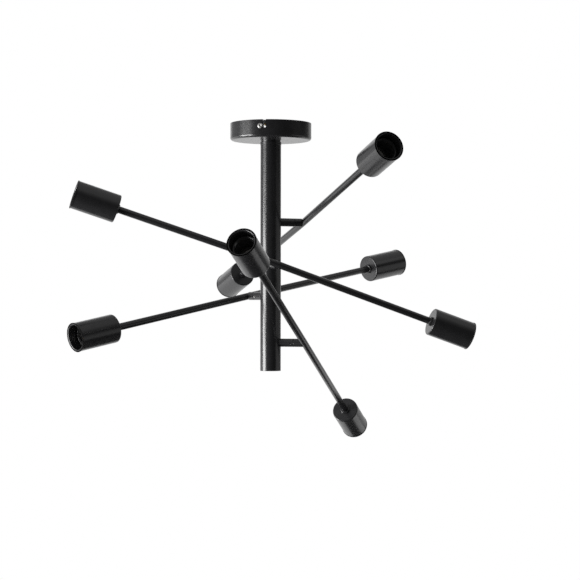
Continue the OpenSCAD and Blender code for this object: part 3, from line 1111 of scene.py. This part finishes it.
def carrierMesh():
    look = carrier
    radius, low, high = look["radius"], look["from"], look["to"]
    groove, deep, half = look["grooveAt"], look["grooveDepth"], look["grooveHalf"]
    return lathe([(0, low)] + rounded([
        (radius / 2, low), (radius, low, look["edge"]), (radius, high, look["edge"]),
        (groove + half, high, 0.15), (groove, high - deep), (groove - half, high, 0.15), (radius / 2, high),
    ]) + [(0, high)], 96)


def contactMesh():
    look = contact
    base, half, rise, strip = lampholder["seatTo"], look["half"], look["rise"], look["strip"]
    tongue = rounded([
        (half / 4, 0), (-half, 0, 1), (-half, rise, 1.2), (half, rise, 0.3), (half, rise - strip, 0.3),
        (strip - half, rise - strip, 0.4), (strip - half, strip, 0.3), (half / 4, strip),
    ])
    wide, high = look["tipRadius"], look["tipHeight"]
    tip = [(0, -strip / 2)] + rounded([
        (wide * 0.5, -strip / 2), (wide, -strip / 2), (wide, high, 0.7), (wide * 0.4, high),
    ]) + [(0, high)]
    near, far, tall = look["sideFrom"], look["sideTo"], look["sideHeight"]
    side = rounded([
        (near, 0), (far, 0, 0.4), (far, tall, 0.8), (far - strip * 1.6, tall, 0.3),
        (far - strip, strip, 0.4), (near, strip),
    ])
    return together(
        (prism(tongue, look["width"]), move(-look["width"] / 2, 0, base) @ onEdge),
        (lathe(tip, 48), move(z=base + rise)),
        (prism(side, look["sideWidth"]), move(-look["sideWidth"] / 2, 0, base) @ onEdge),
    )


def buildCups(arm):
    for side in "ab":
        place = cupPlace(arm, side)
        for name, (data, slot, node, shift) in cupPieces.items():
            piece = placeObject(f"arm{arm}.{name}.{side}", data, place @ shift)
            fit(piece, f"arm_{arm}", slot, node.format(arm=arm, side=side))


cupPieces = {}
for name, mesh, finish, slot, node, height in (
    ("cup", cupMesh(), satinCoat, "black_coat", "cup_{arm}{side}", 0),
    ("rimBand", rimBandMesh(), satinCoat, "black_coat", "cup_{arm}{side}", 0),
    # the ring's face carries painted shade in its near-black, almost glossless finish
    ("rimRing", rimRingMesh(), rimBlackAndShade, "black_plastic", "cup_{arm}{side}", 0),
    ("lampholder", lampholderMesh(), blackThermoset, "black_plastic", "lampholder_{arm}{side}", 0),
    ("holderCap", capMesh(), blackThermoset, "black_plastic", "holder_caps_{arm}", 0),
    ("carrier", carrierMesh(), plainCeramic, "ceramic", "contact_carriers_{arm}", 0),
    ("contact", contactMesh(), plainBrass, "brass", "contacts_{arm}", 0),
    ("lockNut", hexNut(lockNut), satinCoat, "black_coat", "lock_nuts_{arm}", -lockNut["height"]),
):
    cupPieces[name] = (finishedMesh(name, mesh, finish), slot, node, move(z=height))
for arm in range(1, 5):
    buildStub(arm)
    buildClampScrew(arm)
    buildHub(arm)
    buildRod(arm)
    buildCups(arm)
    print("arm", arm, "done")


# Studio: camera, lights and floor

camera = {
    "position": (0.6025, -2.3299, -0.2634),
    "heading": 14.5,             # degrees round the column from straight ahead
    "yaw": -0.674,
    "pitch": 0.499,
    "roll": 0.084,
    "lens": 102.61,
    "sensor": 36,
}
heading = math.radians(camera["heading"])
rightward = Vector((math.cos(heading), math.sin(heading), 0))
away = Vector((-math.sin(heading), math.cos(heading), 0))


def buildCamera():
    yaw, pitch, roll = (math.radians(camera[name]) for name in ("yaw", "pitch", "roll"))
    level = rightward * math.cos(yaw) + away * math.sin(yaw)
    ahead = away * math.cos(yaw) - rightward * math.sin(yaw)
    forward = ahead * math.cos(pitch) + Vector((0, 0, math.sin(pitch)))
    above = level.cross(forward)
    xAxis = level * math.cos(roll) + above * math.sin(roll)
    yAxis = above * math.cos(roll) - level * math.sin(roll)
    data = bpy.data.cameras.new("camera")
    data.lens = camera["lens"]
    data.sensor_width = camera["sensor"]
    turned = Matrix((xAxis, yAxis, -forward)).transposed().to_4x4()
    eye = placeObject("camera", data, Matrix.Translation(camera["position"]) @ turned)
    bpy.context.scene.camera = eye


studio = {
    "target": (0, 0, -0.2),
    "ambient": 0.16,
    # degrees right of the camera as the object sees it, distance, height, width, tall, glow
    "lamps": {
        "leftStrip": (-75, 2.0, -0.69, 1.25, 1.34, 9.9),
        "leftUpper": (-78, 2.05, 0.8, 1.5, 1.5, 0.45),
        "rightFill": (88, 2.2, -0.6, 2.1, 1.2, 0.3),
        "rightUpper": (92, 2.2, 1.25, 1.4, 0.9, 0.27),
        "topSoft": (0, 0.0, 1.6, 1.6, 1.6, 0.8),
    },
    "flagFrom": -105,            # black cloth, in the same degrees
    "flagTo": 115,
    "sides": {                   # grey cloths past the black one's ends: from, to, foot, tone
        "leftCloth": (-145, -105, -0.45, 0.32),
        "rightCloth": (115, 135, -1.2, 0.1),
        "farCloth": (135, 162, -1.2, 0.55),
    },
    "flagRadius": 2.6,
    "panel": 6,                  # degrees of each flat part of a hung cloth
    "flagLow": -2.3,
    "flagHigh": 2.2,
    "flagTone": 0.01,
    "flagTopShare": 0.8,         # tone of its top, as a share of the roof's
    "clothTone": 0.02,
    "leftReach": 1.7,            # black cloth on the floor, behind the object
    "rightReach": 2.4,
    "gradeFrom": 0.5,            # height where the black cloth starts to turn grey
    "roofReach": 3.5,
    "roofTone": 0.27,
    "floorAt": -2.4,
    "floorRadius": 40,
    "floorTone": 0.86,
    "floorGlow": 0.7,            # near the object; the floor turns white from here to farWhite
    "farFrom": 3,
    "farWhite": 9,
}


def around(angle, distance, height):
    angle = math.radians(angle)
    point = (rightward * math.sin(angle) - away * math.cos(angle)) * distance
    return Vector((point.x, point.y, height))


def buildLamps():
    for name, (angle, distance, height, width, tall, glow) in studio["lamps"].items():
        data = bpy.data.lights.new(name, "AREA")
        data.shape = "RECTANGLE"
        data.size, data.size_y = width, tall
        data.energy = glow * math.pi * width * tall
        place = around(angle, distance, height)
        aim = Vector(studio["target"]) - place
        if distance:
            aim.z = 0
        turned = aim.to_track_quat("-Z", "Y").to_matrix().to_4x4()
        lamp = placeObject(name, data, Matrix.Translation(place) @ turned)
        lamp.visible_camera = False
        lamp.visible_glossy = name != "topSoft"      # reflections show the roof cloth in its place


def whiteLight(nodes, kind, strength=1):
    light = nodes.new(kind)
    light.inputs["Color"].default_value = (1, 1, 1, 1)
    light.inputs["Strength"].default_value = strength
    return light


def whiteToCamera(nodes, links, plain, white, output):
    # white where the camera, a reflection or a clear body looks; plain for the light itself
    path = nodes.new("ShaderNodeLightPath")
    first = nodes.new("ShaderNodeMath")
    second = nodes.new("ShaderNodeMath")
    first.operation = second.operation = "MAXIMUM"
    links.new(path.outputs["Is Camera Ray"], first.inputs[0])
    links.new(path.outputs["Is Glossy Ray"], first.inputs[1])
    links.new(first.outputs[0], second.inputs[0])
    links.new(path.outputs["Is Transmission Ray"], second.inputs[1])
    mix = nodes.new("ShaderNodeMixShader")
    links.new(second.outputs[0], mix.inputs["Fac"])
    links.new(plain.outputs[0], mix.inputs[1])
    links.new(white.outputs[0], mix.inputs[2])
    links.new(mix.outputs[0], output.inputs["Surface"])


def buildWorld():
    world = bpy.data.worlds.new("studio")
    bpy.context.scene.world = world
    world.cycles.sampling_method = "NONE"        # the white is found by reflection alone
    nodes, links = emptyTree(world)
    output = nodes.new("ShaderNodeOutputWorld")
    plain = whiteLight(nodes, "ShaderNodeBackground", studio["ambient"])
    white = whiteLight(nodes, "ShaderNodeBackground")
    whiteToCamera(nodes, links, plain, white, output)


def buildFloor():
    mesh = bmesh.new()
    bmesh.ops.create_circle(mesh, cap_ends=True, segments=96, radius=studio["floorRadius"])
    material = bpy.data.materials.new("paleFloor")
    nodes, links = emptyTree(material)
    output = nodes.new("ShaderNodeOutputMaterial")
    tone = studio["floorTone"]
    plain = nodes.new("ShaderNodeBsdfDiffuse")
    plain.inputs["Color"].default_value = (tone, tone, tone, 1)
    glow = whiteLight(nodes, "ShaderNodeEmission")
    share = nodes.new("ShaderNodeMixShader")
    place = nodes.new("ShaderNodeTexCoord")
    distance = nodes.new("ShaderNodeVectorMath")
    distance.operation = "LENGTH"
    links.new(place.outputs["Object"], distance.inputs[0])
    span, ends = (studio["farFrom"], studio["farWhite"]), (studio["floorGlow"], 1)
    links.new(spread(nodes, links, distance.outputs["Value"], span, ends), share.inputs["Fac"])
    links.new(plain.outputs[0], share.inputs[1])
    links.new(glow.outputs[0], share.inputs[2])
    whiteToCamera(nodes, links, plain, share, output)
    material.cycles.emission_sampling = "NONE"
    floor = makePiece("floor", mesh, material, Matrix.Translation((0, 0, studio["floorAt"])))


def glossyOnly(name, mesh, low, high):
    # a cloth that only reflections show, of one tone at eye level and another overhead
    material = bpy.data.materials.new(name)
    nodes, links = emptyTree(material)
    output = nodes.new("ShaderNodeOutputMaterial")
    glow = whiteLight(nodes, "ShaderNodeEmission")
    place = nodes.new("ShaderNodeTexCoord")
    axes = nodes.new("ShaderNodeSeparateXYZ")
    links.new(place.outputs["Object"], axes.inputs[0])
    span = (studio["gradeFrom"], studio["flagHigh"])
    links.new(spread(nodes, links, axes.outputs["Z"], span, (low, high)), glow.inputs["Strength"])
    links.new(glow.outputs[0], output.inputs["Surface"])
    material.cycles.emission_sampling = "NONE"
    cloth = makePiece(name, mesh, material)
    cloth.visible_camera = cloth.visible_diffuse = cloth.visible_shadow = False


def hungCloth(start, end, bottom):
    # part of a round wall, between two angles
    mesh = bmesh.new()
    steps = max(4, round(abs(end - start) / studio["panel"]))
    columns = []
    for step in range(steps + 1):
        angle = start + (end - start) * step / steps
        columns.append([
            mesh.verts.new(around(angle, studio["flagRadius"], height))
            for height in (bottom, studio["flagHigh"])
        ])
    for left, right in zip(columns, columns[1:]):
        mesh.faces.new((left[0], right[0], right[1], left[1]))
    return mesh


def laidCloth(height, reach):
    mesh = bmesh.new()
    mesh.faces.new([mesh.verts.new(around(angle, reach(angle), height)) for angle in range(-180, 180, 5)])
    return mesh


def buildFlags():
    # black round the camera and on the floor, grey at the sides and overhead:
    # they keep the coat's reflections dark
    first, last = studio["flagFrom"], studio["flagTo"]

    def floorReach(angle):
        if first <= angle <= last:
            return studio["flagRadius"]
        return studio["rightReach"] if angle > last else studio["leftReach"]

    low, high = studio["flagLow"], studio["flagHigh"]
    black, roofTone = studio["clothTone"], studio["roofTone"]
    topTone = roofTone * studio["flagTopShare"]
    glossyOnly("flag", hungCloth(first, last, low), studio["flagTone"], topTone)
    for name, (start, end, foot, tone) in studio["sides"].items():
        glossyOnly(name, hungCloth(start, end, foot), tone, tone)
    glossyOnly("floorCloth", laidCloth(low, floorReach), black, black)
    glossyOnly("roofCloth", laidCloth(high, lambda angle: studio["roofReach"]), black, roofTone)


buildCamera()
buildLamps()
buildWorld()
buildFloor()
buildFlags()
bpy.context.scene.view_settings.view_transform = "Standard"
print("studio ready")
